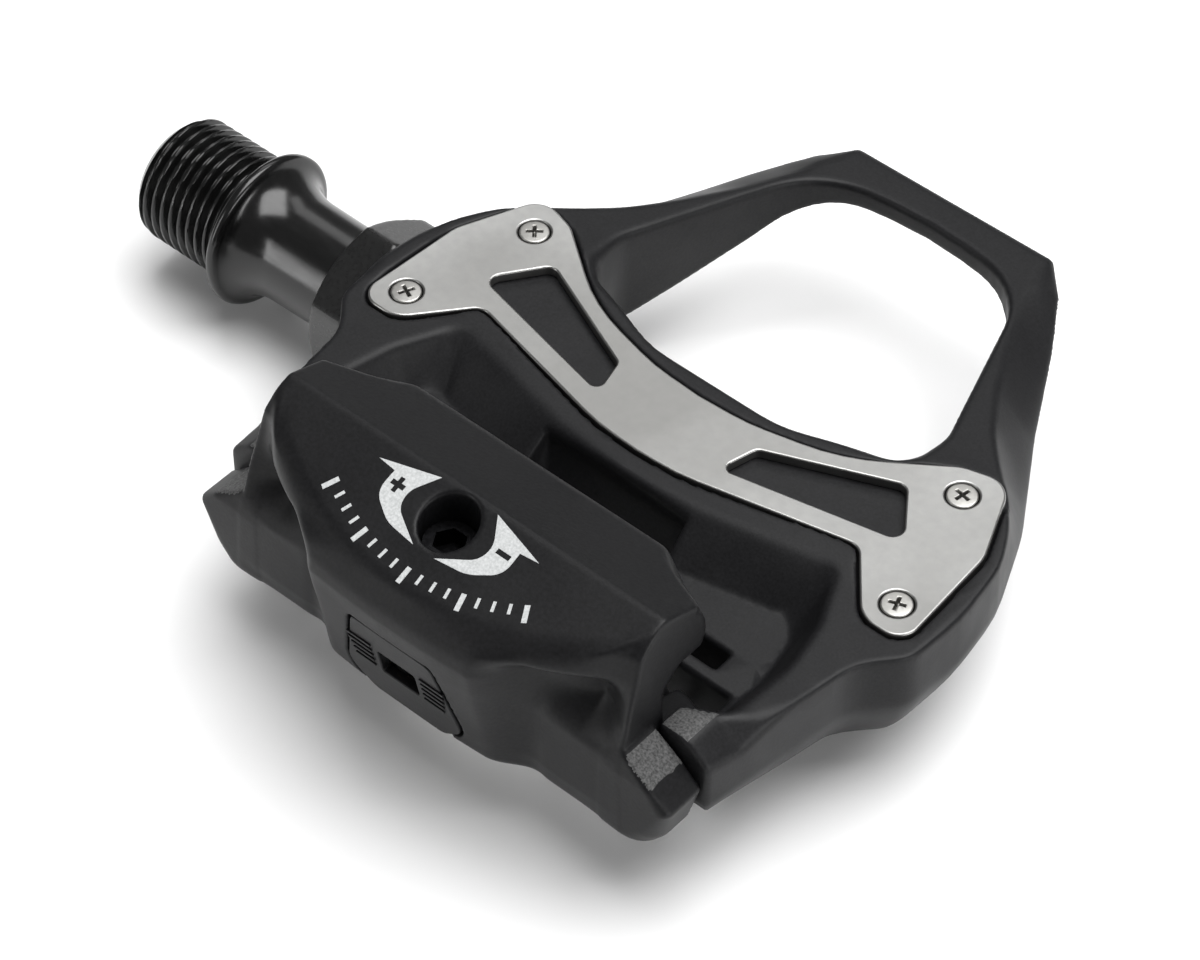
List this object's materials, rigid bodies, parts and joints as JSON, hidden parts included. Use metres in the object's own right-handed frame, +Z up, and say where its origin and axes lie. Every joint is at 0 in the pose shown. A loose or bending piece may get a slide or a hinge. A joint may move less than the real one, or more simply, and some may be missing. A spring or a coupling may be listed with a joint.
{
  "type": "clipless road pedal",
  "caption": "Right-hand clipless road pedal: open loop body with steel wear plate, spring-loaded rear claw with tension bolt, and a spindle on ball and needle bearings.",
  "frame": {"origin": "on the spindle axis, at the face of the collar that seats against the crank arm", "axes": "+X along the spindle, away from the crank; +Y towards the front loop; +Z up, out of the cleat side"},
  "size_m": [0.107, 0.0871, 0.0328],
  "materials": {
    "spindle": "glossy black-oxide steel",
    "bearing_steel": "polished",
    "body": "fine-grained, black",
    "plate": "satin stainless",
    "screw": "satin",
    "lock_nut": "semi-gloss, black",
    "seal": "soft",
    "sleeve": "ground",
    "pin": "ground",
    "bush": "smooth",
    "spring": "drawn wire",
    "claw": "satin black coating, pale grey marks",
    "insert": "satin, black",
    "clip": "spring steel",
    "bolt": "black-oxide steel",
    "nut": "machined"
  },
  "bodies": {
    "spindle_unit": {"spindle": "spindle", "outer_cone": "bearing_steel", "keyed_washer": "bearing_steel", "cone_locknut": "bearing_steel"},
    "pedal": {"pedal_body": "body", "body_plate": "plate", "plate_screws": "screw", "hex_lock_nut": "lock_nut", "axle_sleeve": "sleeve", "dust_seal": "seal", "needle_shell": "bearing_steel", "hinge_pin": "pin", "pin_sleeve": "bush", "spring_left": "spring", "spring_right": "spring"},
    "claw_unit": {"claw": "claw", "indicator_insert": "insert"},
    "tension_bolt_unit": {"tension_bolt": "bolt", "bolt_clip": "clip"},
    "tension_nut_unit": {"tension_nut": "nut"},
    "inner_ball_row": {"inner_balls": "bearing_steel"},
    "outer_ball_row": {"outer_balls": "bearing_steel"},
    "needle_row": {"needle_rollers": "bearing_steel"}
  },
  "joints": [
    {"name": "pedal_spin", "type": "hinge", "parent": "spindle_unit", "child": "pedal", "pos_m": [0, 0, 0], "axis": [1, 0, 0], "continuous": true},
    {"name": "claw_tilt", "type": "hinge", "parent": "pedal", "child": "claw_unit", "pos_m": [0.057, -0.0269, 0.00275], "axis": [1, 0, 0], "range_deg": [0, 18], "stiffness_Nm_per_rad": 3, "springref_deg": -34.38, "deforming": ["spring_left", "spring_right"]},
    {"name": "tension_turn", "type": "hinge", "parent": "claw_unit", "child": "tension_bolt_unit", "pos_m": [0.057, -0.0319, 0.01025], "axis": [0, 0, -1], "range_deg": [0, 1080]},
    {"name": "nut_travel", "type": "slide", "parent": "claw_unit", "child": "tension_nut_unit", "axis": [0, 0, -1], "range_m": [0, 0.0024]},
    {"name": "inner_ball_orbit", "type": "hinge", "parent": "spindle_unit", "child": "inner_ball_row", "pos_m": [0, 0, 0], "axis": [1, 0, 0], "continuous": true},
    {"name": "outer_ball_orbit", "type": "hinge", "parent": "spindle_unit", "child": "outer_ball_row", "pos_m": [0, 0, 0], "axis": [1, 0, 0], "continuous": true},
    {"name": "needle_orbit", "type": "hinge", "parent": "spindle_unit", "child": "needle_row", "pos_m": [0, 0, 0], "axis": [1, 0, 0], "continuous": true}
  ],
  "couplings": [
    {"joint": "inner_ball_orbit", "follows": "pedal_spin", "ratio": 0.596},
    {"joint": "outer_ball_orbit", "follows": "pedal_spin", "ratio": 0.596},
    {"joint": "needle_orbit", "follows": "pedal_spin", "ratio": 0.5735},
    {"joint": "tension_turn", "follows": "nut_travel", "rad_per_m": 7854}
  ]
}
